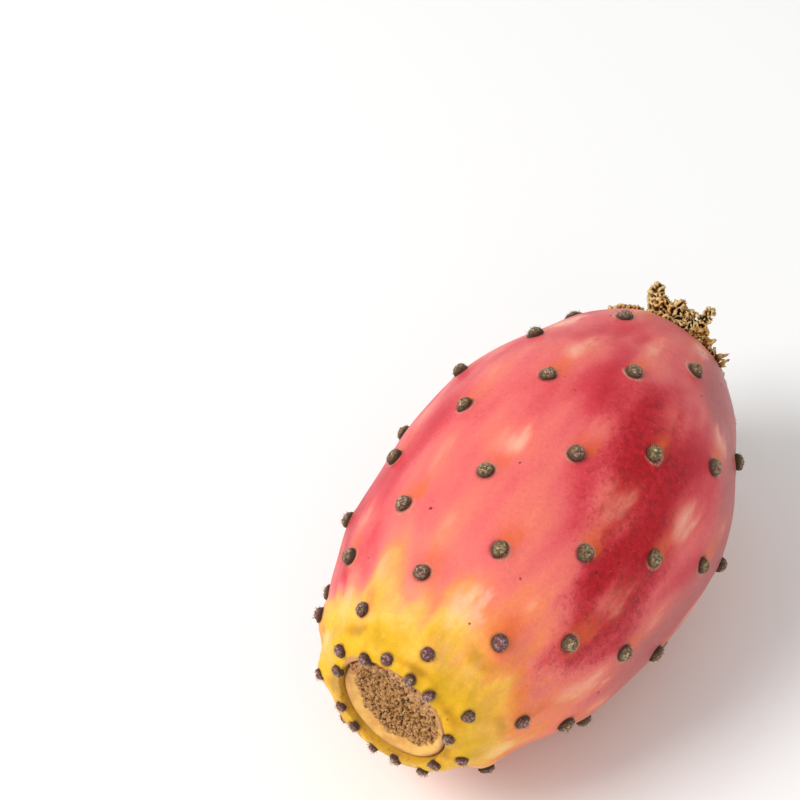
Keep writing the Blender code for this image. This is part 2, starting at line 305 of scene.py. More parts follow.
def skinMasks(arc, angle, points, near):
    # where each colour of the skin lies, worked out from the distance to the scar and to the areoles
    rng = random.Random(skin["seed"])
    collarRng = random.Random(skin["collarSeed"])
    radius = np.interp(arc, flankArc, flankRadius)
    degrees = np.degrees(wrapped(angle))
    fibre = noiseField(points, skin["fibre"], 3)
    flame = noiseField(points, skin["flame"], 2, 4.0)
    broad = noiseField(points, skin["drift"], 2, 9.0)
    strengthRng = random.Random(skin["streakSeed"])
    streak, orange, flush, collar, footWoolAndShade, shadowBelowAreole, tongue = (np.zeros(len(arc)) for _ in range(7))
    for (areoleArc, areoleAngle), centre in zip(areoles, areoleCentres):
        strength = 0.32 + 0.68 * strengthRng.uniform(0, 1)
        orangeStrength = rng.uniform(0.55, 1.0)
        sway = rng.uniform(-0.08, 0.08)
        length = rng.uniform(*skin["streakLength"])
        width = rng.uniform(*skin["streakHalfWidth"])
        ahead = arc - areoleArc
        straight = radius * wrapped(angle - areoleAngle)
        aside = straight + sway * ahead + (flame + 0.5 * fibre) * 0.0012
        start = skin["streakStart"] + 0.0012 * fibre
        inside = hump(start, start + length * 0.46, start + length, ahead)
        taper = 0.72 + 0.28 * inside
        streak = np.maximum(streak, strength * np.exp(-((aside / (width * taper)) ** 2)) * inside)
        if 0.0006 < areoleArc < 0.0100:
            along = hump(-0.002, 0.0050, 0.0150, ahead)
            tongue = np.maximum(tongue, (0.45 + 0.55 * strength) * np.exp(-((aside / 0.0030) ** 2)) * along)
        flush = np.maximum(flush, np.exp(-((aside / 0.0052) ** 2)) * hump(-0.004, 0.006, 0.019, ahead))
        behind = -0.0045 if areoleArc < 0.024 else -0.0004    # on the belly only the stem side glows
        glow = orangeStrength * np.exp(-((aside / 0.0021) ** 2)) * hump(behind, 0.0016, 0.0078, ahead)
        orange = np.maximum(orange, glow * float(smoothStep(0.003, 0.010, areoleArc)))
        # painted shadow: darker amber just below each areole, on its scar side, near the scar
        if 0.0030 < areoleArc < 0.015:
            spread = ((straight + 0.0014 * flame) / 0.0032) ** 2
            spread = spread + ((ahead + 0.0029 + 0.0008 * flame) / 0.0014) ** 2
            shadowBelowAreole = np.maximum(shadowBelowAreole, (0.55 + 0.45 * orangeStrength) * np.exp(-spread))
        away = np.sqrt(((points - centre) ** 2).sum(axis=1)) / (areolePad["radius"] * areoleScale(areoleArc))
        facing = np.cos(np.arctan2(straight, ahead) - collarRng.uniform(0, math.tau))
        ring = np.exp(-(((away - skin["collarRadius"]) / skin["collarWidth"]) ** 2))
        shown = 0.30 + 0.45 * smoothStep(0.004, 0.020, areoleArc) + 0.25 * smoothStep(0.045, 0.070, areoleArc)
        collar = np.maximum(collar, shown * ring * (0.25 + 0.75 * smoothStep(-0.7, 0.7, facing)))
        # dark wool at each pad's foot with a painted contact shadow round it
        footWoolAndShade = np.maximum(footWoolAndShade, np.exp(-((away / 1.12) ** 6)))
    streak = np.clip(streak * (1 + 0.5 * fibre), 0, 1)
    orange = np.clip(orange * (1 + 0.5 * fibre), 0, 1)
    distances, levels = zip(*skin["ripening"])
    towardsTop = 0.0010 * np.cos(np.radians(degrees - 80)) - 0.0016
    reached = arc - towardsTop - skin["tongueReach"] * tongue + 0.0024 * flame + 0.0014 * fibre
    ripeness = np.interp(reached, distances, levels)
    lean = 24 + 34 * smoothStep(0.018, 0.062, arc)
    crimson = np.exp(-(np.abs((degrees - lean) / 21) ** 2.4)) * hump(0.008, 0.040, 0.070, arc) ** 0.6
    crimson = np.clip(crimson * (1 + 0.5 * flame), 0, 1)
    redder = -0.05 * flush + 0.10 * flame + 0.10 * broad + 0.05 * np.exp(-(((degrees - 135) / 22) ** 2))
    redder = redder + 0.22 * smoothStep(108, 146, degrees) * hump(0.006, 0.016, 0.060, arc)
    streak = streak * (1 - 0.25 * crimson)
    ripeness = ripeness + smoothStep(0.40, 0.62, ripeness) * (redder + 0.30 * crimson - 0.20 * streak)
    amber = np.exp(-(((ripeness - 0.44) / 0.15) ** 2)) * (1 - smoothStep(34, 60, degrees))
    amber = amber * (0.55 + 0.35 * flame)
    orange = np.maximum(orange, np.clip(amber, 0, 1))
    # greyish mauve on the right side, partly the skin's dull rose and partly a painted grazing sheen of the
    # wax bloom; round the stem it is the skin's own mauve
    shade = 4 + 46 * smoothStep(0.048, 0.080, arc)
    mauveAndSheen = (1 - smoothStep(shade - 8, shade + 20, degrees)) * smoothStep(-75, -40, degrees)
    mauveAndSheen = mauveAndSheen * smoothStep(0.012, 0.034, arc)
    mauveAndSheen = np.maximum(mauveAndSheen, smoothStep(0.064, 0.088, arc) * 0.5)
    # the belly, out of the light, is paler and more orange
    fromBelow = np.abs(np.degrees(wrapped(angle + math.pi / 2)))
    under = (1 - smoothStep(40, 92, fromBelow)) * smoothStep(0.003, 0.016, arc)
    # painted shade: the hollows between the swellings near the scar, and the painted shadow below each areole
    hollowShade = np.clip(np.maximum(0.55 * near, shadowBelowAreole) + 0.12 * flame, 0, 1)
    scab = np.exp(-(((degrees - skin["scabAngle"]) / 16) ** 2))
    lipWidth = skin["lipWidth"] + skin["scabWidth"] * scab
    lipAndCreaseShade = 1 - smoothStep(-0.25, 1.0, (arc - 0.0003 * fibre - 0.0001 * broad) / lipWidth)
    # painted shade: brown in the creases of the golden skin under the scar, on its lower left, added to the
    # dry lip's mask
    lowerLeft = np.maximum(1 - smoothStep(-80, -50, degrees), smoothStep(160, 176, degrees))
    creaseShade = lowerLeft * np.exp(-(((arc - 0.0012) / 0.0010) ** 2))
    lipAndCreaseShade = np.maximum(lipAndCreaseShade, 0.75 * creaseShade * smoothStep(0.0, 0.35, fibre))
    return {"streak": streak, "orange": orange, "collar": collar, "areoleFootWoolAndShade": footWoolAndShade,
            "ripeness": np.clip(ripeness, 0, 1), "crimson": crimson, "mauveAndSheen": mauveAndSheen, "under": under,
            "hollowShade": hollowShade, "lipAndCreaseShade": lipAndCreaseShade, "scab": scab * lipAndCreaseShade}


def ripeSkin():
    # Ripe prickly pear skin, grown and unpolished: satin, because a thin wax bloom breaks up the gloss.
    # Light enters the flesh a millimetre or two, which softens the shading and warms it.
    material, tree, shader = newMaterial("ripeCactusFruitSkin", {
        "Roughness": 0.42, "IOR": 1.42, "Specular IOR Level": 0.30, "Subsurface Weight": 0.08,
        "Subsurface Scale": 0.0012, "Sheen Weight": 0.03, "Sheen Roughness": 0.45,
    })
    shader.inputs["Subsurface Radius"].default_value = (1.0, 0.35, 0.2)
    shader.inputs["Sheen Tint"].default_value = linearColour("F2DDE2")
    place = addNode(tree, "TexCoord").outputs["Object"]
    masks = {name: addNode(tree, "Attribute", {"attribute_name": name}).outputs["Fac"]
             for name in ("streak", "orange", "collar", "areoleFootWoolAndShade", "ripeness", "crimson", "mauveAndSheen", "under",
                          "hollowShade", "lipAndCreaseShade", "scab")}
    # grains of pigment about half a millimetre across, in a looser network of about 1.4 mm
    grain = addNode(tree, "TexNoise", {}, {
        "Vector": place, "Scale": perMillimetre(0.55), "Detail": 3.0, "Roughness": 0.6,
        "Distortion": 0.8}).outputs[0]
    network = addNode(tree, "TexNoise", {}, {
        "Vector": place, "Scale": perMillimetre(1.4), "Detail": 5.0, "Roughness": 0.68,
        "Distortion": 1.2}).outputs[0]
    cloud = addNode(tree, "TexNoise", {}, {
        "Vector": place, "Scale": perMillimetre(5.0), "Detail": 3.0, "Roughness": 0.55}).outputs[0]
    dots = addNode(tree, "TexVoronoi", {}, {
        "Vector": place, "Scale": perMillimetre(1.1), "Randomness": 1.0})
    # blotches of deeper pigment about a millimetre across
    blotch = addNode(tree, "TexNoise", {}, {
        "Vector": place, "Scale": perMillimetre(1.0), "Detail": 5.0, "Roughness": 0.72}).outputs[0]
    # scratches of the bristles are some 5 mm apart
    scratched = addNode(tree, "VectorMath", {"operation": "MULTIPLY_ADD"}, {
        0: addNode(tree, "TexNoise", {}, {"Vector": place, "Scale": perMillimetre(0.9)}).outputs["Color"],
        1: (0.0004, 0.0004, 0.0004), 2: place}).outputs[0]
    pricks = addNode(tree, "TexVoronoi", {}, {
        "Vector": scratched, "Scale": perMillimetre(4.6), "Randomness": 1.0})

    def broken(mask, low, high, texture, spread):
        # a mask whose edge is broken up by a texture
        swing = addNode(tree, "Math", {"operation": "MULTIPLY_ADD"}, {
            0: texture, 1: spread, 2: -spread / 2}).outputs[0]
        summed = addNode(tree, "Math", {"operation": "ADD"}, {0: mask, 1: swing}).outputs[0]
        return addNode(tree, "MapRange", {"interpolation_type": "SMOOTHSTEP"}, {
            "Value": summed, "From Min": low, "From Max": high}).outputs[0]

    def product(first, second):
        return addNode(tree, "Math", {"operation": "MULTIPLY"}, {0: first, 1: second}).outputs[0]

    def layer(under, over, fac, blend="MIX"):
        colour = linearColour(over) if isinstance(over, str) else over
        return addNode(tree, "Mix", {"data_type": "RGBA", "blend_type": blend}, {
            0: fac, 6: under, 7: colour}).outputs[2]

    # ripeness, stirred a little by the network, picks the colour from olive yellow to crimson
    stirred = addNode(tree, "Math", {"operation": "MULTIPLY_ADD"}, {
        0: network, 1: 0.10, 2: -0.05}).outputs[0]
    stage = addNode(tree, "Math", {"operation": "ADD", "use_clamp": True}, {
        0: masks["ripeness"], 1: stirred}).outputs[0]
    ramp = addNode(tree, "ValToRGB", {}, {"Fac": stage})
    stops = ((0.0, "D0A008"), (0.14, "EAB41C"), (0.28, "FABE48"), (0.41, "FBAC5A"), (0.53, "F99058"),
             (0.65, "F57F6C"), (0.77, "EE6B6A"), (0.88, "DC434D"), (1.0, "C62434"))
    setStops(ramp, stops)
    colour = ramp.outputs["Color"]
    isGold = addNode(tree, "MapRange", {}, {
        "Value": masks["ripeness"], "From Min": 0.55, "From Max": 0.25}).outputs[0]
    isRed = addNode(tree, "MapRange", {}, {
        "Value": masks["ripeness"], "From Min": 0.66, "From Max": 0.95, "To Max": 0.55}).outputs[0]
    colour = layer(colour, "BE0F1E", broken(masks["crimson"], 0.20, 1.15, network, 0.9))
    deep = product(broken(masks["crimson"], 0.1, 0.8, network, 0.5), broken(blotch, 0.47, 0.66, grain, 0.04))
    colour = layer(colour, "66020C", product(deep, 0.7))
    colour = layer(colour, "DE4A55", product(product(masks["crimson"], 0.32),
                                             broken(blotch, 0.47, 0.26, grain, 0.1)))
    colour = layer(colour, "C23A48", product(isRed, broken(blotch, 0.54, 0.74, grain, 0.2)))
    # greyish mauve: the skin's own dull rose with a painted grazing sheen on the right side
    colour = layer(colour, "B4605F", broken(masks["mauveAndSheen"], 0.1, 1.3, network, 0.3))
    colour = layer(colour, "E39468", broken(masks["under"], 0.1, 1.3, cloud, 0.6))
    # painted shade: darker amber and olive in the hollows and below the areoles on the golden skin
    for code, low, high, share in (("E3A010", 0.02, 0.60, 0.8), ("AC8000", 0.30, 1.00, 0.9)):
        shadedHollows = product(broken(masks["hollowShade"], low, high, cloud, 0.2), isGold)
        colour = layer(colour, code, product(shadedHollows, share))
    glow = layer(linearColour("F5745F"), "FDC468", isGold)
    colour = layer(colour, glow, product(broken(masks["streak"], -0.05, 0.95, network, 0.2), 0.85))
    pale = layer(linearColour("FDB49C"), "FDCB80", isGold)
    colour = layer(colour, pale, product(broken(masks["streak"], 0.22, 1.05, network, 0.30), 0.9))
    flame = layer(linearColour("EE6E34"), "F3922A", isGold)
    colour = layer(colour, flame, product(broken(masks["orange"], 0.04, 0.95, network, 0.2), 0.75))
    colour = layer(colour, "E0A98A", broken(masks["collar"], 0.25, 1.05, network, 0.8))
    # painted contact shadow round each pad's foot, over the wool's own dark colour
    colour = layer(colour, "5E2A1A", masks["areoleFootWoolAndShade"])
    # the dry tan lip round the scar, and painted shade in the creases under it
    colour = layer(colour, "C2912F", product(broken(masks["lipAndCreaseShade"], 0.15, 0.75, grain, 0.4), 0.8))
    colour = layer(colour, "94601F", product(product(masks["lipAndCreaseShade"], 0.7),
                                             broken(network, 0.52, 0.70, grain, 0.2)))
    colour = layer(colour, "C68A5E", broken(masks["scab"], 0.10, 0.60, grain, 0.3))
    # tiny pale breathing pores, and a few brown pricks where a bristle has scratched
    pore = addNode(tree, "MapRange", {}, {
        "Value": dots.outputs["Distance"], "From Min": 0.13, "From Max": 0.05, "To Max": 0.14}).outputs[0]
    colour = layer(colour, "FAC3B2", pore)
    prick = addNode(tree, "MapRange", {}, {
        "Value": pricks.outputs["Distance"], "From Min": 0.062, "From Max": 0.036, "To Max": 0.85}).outputs[0]
    colour = layer(colour, "5A2016", prick)
    mottle = addNode(tree, "MapRange", {}, {
        "Value": grain, "From Min": 0.3, "From Max": 0.7, "To Min": 1.05, "To Max": 0.93}).outputs[0]
    shade = addNode(tree, "CombineColor", {}, {0: mottle, 1: mottle, 2: mottle}).outputs[0]
    colour = layer(colour, shade, 1.0, "MULTIPLY")
    tree.links.new(colour, shader.inputs["Base Color"])
    rough = addNode(tree, "MapRange", {}, {
        "Value": cloud, "From Min": 0.3, "From Max": 0.7, "To Min": 0.36, "To Max": 0.48}).outputs[0]
    tree.links.new(rough, shader.inputs["Roughness"])
    pores = addNode(tree, "Bump", {}, {"Strength": 0.3, "Distance": 0.00005, "Height": grain})
    dimples = addNode(tree, "Bump", {}, {
        "Strength": 0.4, "Distance": 0.00022, "Height": network, "Normal": pores.outputs[0]})
    tree.links.new(dimples.outputs[0], shader.inputs["Normal"])
    return material


def buildSkin():
    sides, rings = skin["sides"], skin["rings"]
    angles = np.arange(sides) / sides * math.tau
    flankArcs = np.linspace(0, 1, rings) ** skin["ringCrowding"] * flankArc[-1]
    profile = [(along, radius, 0.0) for along, radius in skin["scarSide"][1:]]
    flankRings = [np.interp(flankArcs, flankArc, column) for column in (flankAlong, flankRadius)]
    profile += list(zip(*flankRings, flankArcs))
    profile += [(along, radius, flankArc[-1]) for along, radius in skin["stemSide"][:-1]]
    along, radius, arc = (np.repeat(np.array(column)[:, None], sides, axis=1) for column in zip(*profile))
    angle = np.repeat(angles[None, :], len(profile), axis=0)
    plain = laidDown(along, radius, angle)
    down, round_ = np.gradient(plain, axis=0), np.roll(plain, -1, axis=1) - np.roll(plain, 1, axis=1)
    outward = np.cross(down, round_)
    outward = outward / np.maximum(np.linalg.norm(outward, axis=-1, keepdims=True), 1e-12)
    flat, outward, arc, angle = plain.reshape(-1, 3), outward.reshape(-1, 3), arc.ravel(), angle.ravel()
    raised, near = swelling(flat)
    onBody = (flat[:, 1] - fruit["alongMiddle"] < relief["end"]) & (arc > 0)
    ends = 1 - smoothStep(relief["end"] - 0.006, relief["end"], flat[:, 1] - fruit["alongMiddle"])
    height = np.where(onBody, raised * ends, 0)
    height += noiseField(flat, skin["undulationSize"], 2, 2.5) * skin["undulation"]
    nearScar = np.exp(-((arc / skin["wrinkleReach"]) ** 2))
    wrinkles = noiseField(flat, skin["wrinkleSize"], 3, 7.0) * skin["wrinkleHeight"]
    height += wrinkles * nearScar * (arc > 0)
    # where shade is painted: the hollows between the swellings near the scar
    hollowShade = np.clip((0.62 - near) / 0.62, 0, 1) * np.exp(-((arc / 0.0095) ** 2))
    masks = skinMasks(arc, angle, flat, hollowShade)
    height += masks["collar"] * skin["collarHeight"]
    points = flat + outward * height[:, None]
    points[:, 2] = np.maximum(points[:, 2], 0)
    ringCount = len(profile)
    faces = ringFaces(ringCount, sides)
    poles = [laidDown(skin["scarSide"][0][0], 0.0, 0.0), laidDown(skin["stemSide"][-1][0], 0.0, 0.0)]
    points = np.concatenate([points, poles])
    firstPole, lastPole, lastRing = len(points) - 2, len(points) - 1, (ringCount - 1) * sides
    for side in range(sides):
        after = (side + 1) % sides
        faces.append((firstPole, after, side))
        faces.append((lastPole, lastRing + side, lastRing + after))
    masks = {name: np.concatenate([values, [0, 0]]) for name, values in masks.items()}
    return makeObject("skin", points, faces, ripeSkin(), masks)


def matWool():
    # Areole wool, grown as matted plant hair: no gloss at all, nearly black at the foot with a painted
    # contact shadow there, straw flecks on top that are partly a painted highlight.
    material, tree, shader = newMaterial("mattedAreoleWool", {
        "Roughness": 0.9, "IOR": 1.4, "Sheen Weight": 0.15})
    place = addNode(tree, "TexCoord").outputs["Object"]
    tone = addNode(tree, "Attribute", {"attribute_name": "tone"}).outputs["Fac"]
    top = addNode(tree, "Attribute", {"attribute_name": "top"}).outputs["Fac"]
    flecks = addNode(tree, "TexNoise", {}, {
        "Vector": place, "Scale": perMillimetre(0.40), "Detail": 3.0, "Roughness": 0.65,
        "Distortion": 0.5}).outputs[0]
    ground = addNode(tree, "Mix", {"data_type": "RGBA"}, {
        0: tone, 6: linearColour("73603C"), 7: linearColour("744044")})
    pale = addNode(tree, "Mix", {"data_type": "RGBA"}, {
        0: tone, 6: linearColour("DCC89A"), 7: linearColour("C4A4AA")})
    # pale flecks only on the pad's top: straw tips of the wool and a painted highlight
    bright = addNode(tree, "MapRange", {}, {"Value": flecks, "From Min": 0.50, "From Max": 0.64}).outputs[0]
    topFlecksAndHighlight = addNode(tree, "Math", {"operation": "MULTIPLY"}, {0: bright, 1: top}).outputs[0]
    fleckedAndHighlit = addNode(tree, "Mix", {"data_type": "RGBA"}, {
        0: topFlecksAndHighlight, 6: ground.outputs[2], 7: pale.outputs[2]})
    dark = addNode(tree, "MapRange", {}, {
        "Value": flecks, "From Min": 0.32, "From Max": 0.47, "To Min": 0.75, "To Max": 0.0}).outputs[0]
    pitted = addNode(tree, "Mix", {"data_type": "RGBA"}, {
        0: dark, 6: fleckedAndHighlit.outputs[2], 7: linearColour("33211A")})
    # dark foot: the wool's own dark colour with a painted contact shadow
    foot = addNode(tree, "MapRange", {}, {
        "Value": top, "From Min": 0.72, "From Max": 0.15, "To Max": 0.85}).outputs[0]
    colour = addNode(tree, "Mix", {"data_type": "RGBA"}, {
        0: foot, 6: pitted.outputs[2], 7: linearColour("3B2419")})
    tree.links.new(colour.outputs[2], shader.inputs["Base Color"])
    nap = addNode(tree, "Bump", {}, {"Strength": 0.7, "Distance": 0.00012, "Height": flecks})
    tree.links.new(nap.outputs[0], shader.inputs["Normal"])
    return material


def areoleSeats():
    # where each pad stands: its centre on the raised skin, its rotation and its share of full size
    raised = swelling(areoleCentres)[0]
    seats = []
    for (arc, angle), centre, lift in zip(areoles, areoleCentres, raised):
        turn = skinTurn(arc, angle)
        seats.append((Vector(centre) + turn @ Vector((0, 0, lift)), turn, areoleScale(arc)))
    return seats


def buildAreoles(seats):
    sides, rings = areolePad["sides"], areolePad["rings"]
    rng = random.Random(areolePad["seed"])
    points, faces, tones, tops = [], [], [], []
    for seat, turn, share in seats:
        first = len(points)
        tone = rng.uniform(0, 0.5) + (0.5 if seat.y < -0.028 else 0)
        stretch = rng.uniform(0.96, 1.20)
        wide = areolePad["radius"] * share * rng.uniform(0.93, 1.08)
        high = areolePad["height"] * share * rng.uniform(0.85, 1.1)
        crown = seat + turn @ Vector((0, 0, high * 0.93))
        crown.z = max(crown.z, 0)
        points.append(crown)
        tones.append(tone)
        tops.append(1)
        for ring in range(1, rings + 1):
            tilt = areolePad["foot"] * ring / rings
            level = math.copysign(abs(math.cos(tilt)) ** 0.8, math.cos(tilt))
            for side in range(sides):
                round_ = math.tau * side / sides
                out = wide * math.sin(tilt)
                local = Vector((out * math.cos(round_) * stretch, out * math.sin(round_) / stretch,
                                high * max(-0.6, level)))
                spot = seat + turn @ local
                rough = noise.fractal(spot * 2800, 0.7, 2.0, 3) * areolePad["grain"]
                rough += noise.noise(spot * 950) * areolePad["unevenness"] * math.sin(tilt)
                spot += (turn @ local.normalized()) * rough
                spot.z = max(spot.z, 0)
                points.append(spot)
                tones.append(tone)
                tops.append(max(0, math.cos(tilt)) ** 1.2)
        faces += [(first, first + 1 + side, first + 1 + (side + 1) % sides) for side in range(sides)]
        faces += ringFaces(rings, sides, first + 1)
        last = first + 1 + (rings - 1) * sides
        faces.append([last + side for side in reversed(range(sides))])
    return makeObject("areolePads", points, faces, matWool(), {"tone": tones, "top": tops})


def sweep(points, faces, path, widths, sides):
    # a closed tapering strip along a path; the last width is its tip
    first = len(points)
    side = Vector((0.31, 0.22, 0.93))
    for index, (centre, width) in enumerate(zip(path, widths)):
        ahead = path[min(index + 1, len(path) - 1)] - path[max(index - 1, 0)]
        ahead.normalize()
        across = ahead.cross(side)
        across.normalize()
        flat = across.cross(ahead)
        for corner in range(sides):
            turn = math.tau * corner / sides
            points.append(centre + across * width * math.cos(turn) + flat * width * math.sin(turn))
    rings = len(path)
    faces += ringFaces(rings, sides, first)
    faces.append([first + corner for corner in reversed(range(sides))])
    faces.append([first + (rings - 1) * sides + corner for corner in range(sides)])


def bristle():
    # Barbed bristles, dry and translucent like straw: they catch the light as pale points.
    material, tree, shader = newMaterial("strawBristle", {
        "Roughness": 0.55, "IOR": 1.5, "Subsurface Weight": 0.1, "Subsurface Scale": 0.0002})
    place = addNode(tree, "TexCoord").outputs["Object"]
    shade = addNode(tree, "TexNoise", {}, {"Vector": place, "Scale": perMillimetre(0.8), "Detail": 2.0})
    colour = addNode(tree, "Mix", {"data_type": "RGBA"}, {
        0: shade.outputs["Fac"], 6: linearColour("6E5230"), 7: linearColour("CDB98C")})
    tree.links.new(colour.outputs[2], shader.inputs["Base Color"])
    return material


def buildBristles(seats):
    rng = random.Random(areolePad["hairSeed"])
    wide, high = areolePad["radius"], areolePad["height"]
    points, faces = [], []
    for seat, turn, share in seats:
        for _ in range(areolePad["hairs"]):
            tilt = math.acos(rng.uniform(0.25, 1.0))
            round_ = rng.uniform(0, math.tau)
            out = math.sin(tilt)
            way = Vector((out * math.cos(round_), out * math.sin(round_), math.cos(tilt)))
            root = Vector((way.x * wide, way.y * wide, way.z * high)) * areolePad["rooted"] * share
            sway = Vector([rng.uniform(-0.5, 0.5) for _ in range(3)])
            lean = (way + sway + Vector((0, 0, 0.4))).normalized()
            long = rng.uniform(*areolePad["hairLength"])
            path = [seat + turn @ (root + lean * long * part) for part in (0, 0.5, 1)]
            if min(p.z for p in path) < 0.0001:
                continue
            sweep(points, faces, path, [areolePad["hairRadius"] * w for w in areolePad["hairWidths"]], 3)
    return makeObject("areoleBristles", points, faces, bristle(), smooth=False)


def grainShape(subdivisions):
    shape = bmesh.new()
    bmesh.ops.create_icosphere(shape, subdivisions=subdivisions, radius=1)
    corners = [vertex.co.copy() for vertex in shape.verts]
    faces = [[vertex.index for vertex in face.verts] for face in shape.faces]
    shape.free()
    return corners, faces


def crumb(mesh, rng, shape, place, size):
    # a craggy grain; "inside" is 0 on its knobs and 1 in its clefts, where the cork paints shade
    corners, faces = shape
    first, seed = len(mesh["points"]), Vector([rng.uniform(0, 50) for _ in range(3)])
    turn = Euler([rng.uniform(0, math.tau) for _ in range(3)]).to_matrix()
    squash = Vector([rng.uniform(0.6, 1.2) for _ in range(3)])
    for corner in corners:
        craggy = 1 + 0.55 * noise.fractal(corner * 1.6 + seed, 0.7, 2.2, 4)
        mesh["points"].append(place + turn @ Vector([a * b for a, b in zip(corner, squash)]) * size * craggy)
        mesh["inside"].append(min(1, max(0, (1 - craggy) * 2.2)))
    mesh["faces"].extend([[first + i for i in face] for face in faces])


# Floral scar: where the flower fell off. A smooth tan band, parted from the lip by a groove, runs
# round a floor of pitted cork that lies a little towards the upper side and reaches the lip there.
scar = {"profile": ((0.0011, 0.0), (0.0011, 0.0036), (0.0011, 0.0058), (0.0008, 0.0070), (0.0006, 0.0078),
                    (0.0006, 0.0082), (0.0008, 0.0084), (0.0016, 0.00862), (0.0016, 0.0088)),
        "lean": 0.020, "leanAngle": math.radians(62), "leanReach": 0.0082,
        "rings": 120, "sides": 400, "corkRadius": 0.0068, "corkShift": 0.0011, "shiftAngle": math.radians(62),
        "corkDome": 0.00035, "grooveShade": (0.0083, 0.0086), "pitDepth": 0.00055, "pitSize": 0.00060,
        "grain": 0.00026, "crumbs": 110, "crumbRadius": (0.00010, 0.00030), "warpSeed": 7,
        "scabCrumbs": 26, "scabCrumbRadius": (0.00022, 0.00055), "scabRing": (0.0076, 0.0089), "seed": 61}


def scarCork():
    # Cork that the plant grew over the wound: matt and porous, with painted shade in its pits, in the clefts
    # of its crumbs and in the groove round its band, and a smooth band like dry skin that keeps a trace of
    # satin.
    material, tree, shader = newMaterial("scarCork", {"Roughness": 0.8, "IOR": 1.4})
    place = addNode(tree, "TexCoord").outputs["Object"]
    pit, floor, grooveShade, upper, rim = (addNode(tree, "Attribute", {"attribute_name": name}).outputs["Fac"]
                                      for name in ("inside", "floor", "grooveShade", "upper", "rim"))
    grain = addNode(tree, "TexNoise", {}, {
        "Vector": place, "Scale": perMillimetre(0.5), "Detail": 4.0, "Roughness": 0.7}).outputs[0]
    stain = addNode(tree, "TexNoise", {}, {
        "Vector": place, "Scale": perMillimetre(2.2), "Detail": 2.0}).outputs[0]

    def mix(fac, first, second):
        sockets = {0: fac}
        for key, colour in ((6, first), (7, second)):
            sockets[key] = linearColour(colour) if isinstance(colour, str) else colour
        return addNode(tree, "Mix", {"data_type": "RGBA"}, sockets).outputs[2]

    def between(value, low, high, top=1.0):
        return addNode(tree, "MapRange", {}, {
            "Value": value, "From Min": low, "From Max": high, "To Max": top}).outputs[0]

    cork = mix(between(grain, 0.34, 0.66), "9A6A34", "CFA068")
    cork = mix(upper, cork, mix(between(grain, 0.34, 0.66), "B68054", "D8A880"))
    # painted shade: dark in the pits and in the clefts of the crumbs
    shadedPits = mix(between(stain, 0.55, 0.66), "5A3210", "63220F")
    pitted = mix(pit, cork, shadedPits)
    band = mix(between(stain, 0.4, 0.6), "D4984E", "E6B45C")
    band = mix(rim, band, "C38B5E")
    colour = mix(floor, band, pitted)
    # painted shade: dark in the groove between the band and the lip
    colour = mix(grooveShade, colour, mix(between(grain, 0.35, 0.65), "5A3410", "8E5E24"))
    tree.links.new(colour, shader.inputs["Base Color"])
    tree.links.new(addNode(tree, "MapRange", {}, {
        "Value": floor, "To Min": 0.55, "To Max": 0.95}).outputs[0], shader.inputs["Roughness"])
    crumbly = addNode(tree, "Bump", {}, {"Strength": 0.4, "Distance": 0.00012, "Height": grain})
    tree.links.new(crumbly.outputs[0], shader.inputs["Normal"])
    return material


def scarPlace(radius, angle, raised=0.0):
    # a place on the scar's own surface, which leans out towards its upper side
    alongs, radii = zip(*scar["profile"])
    along = splineThrough(radii, alongs, radius)
    lean = scar["lean"] * math.cos(angle - scar["leanAngle"]) * min(radius, scar["leanReach"])
    return Vector(laidDown(along - lean - raised, radius, angle))


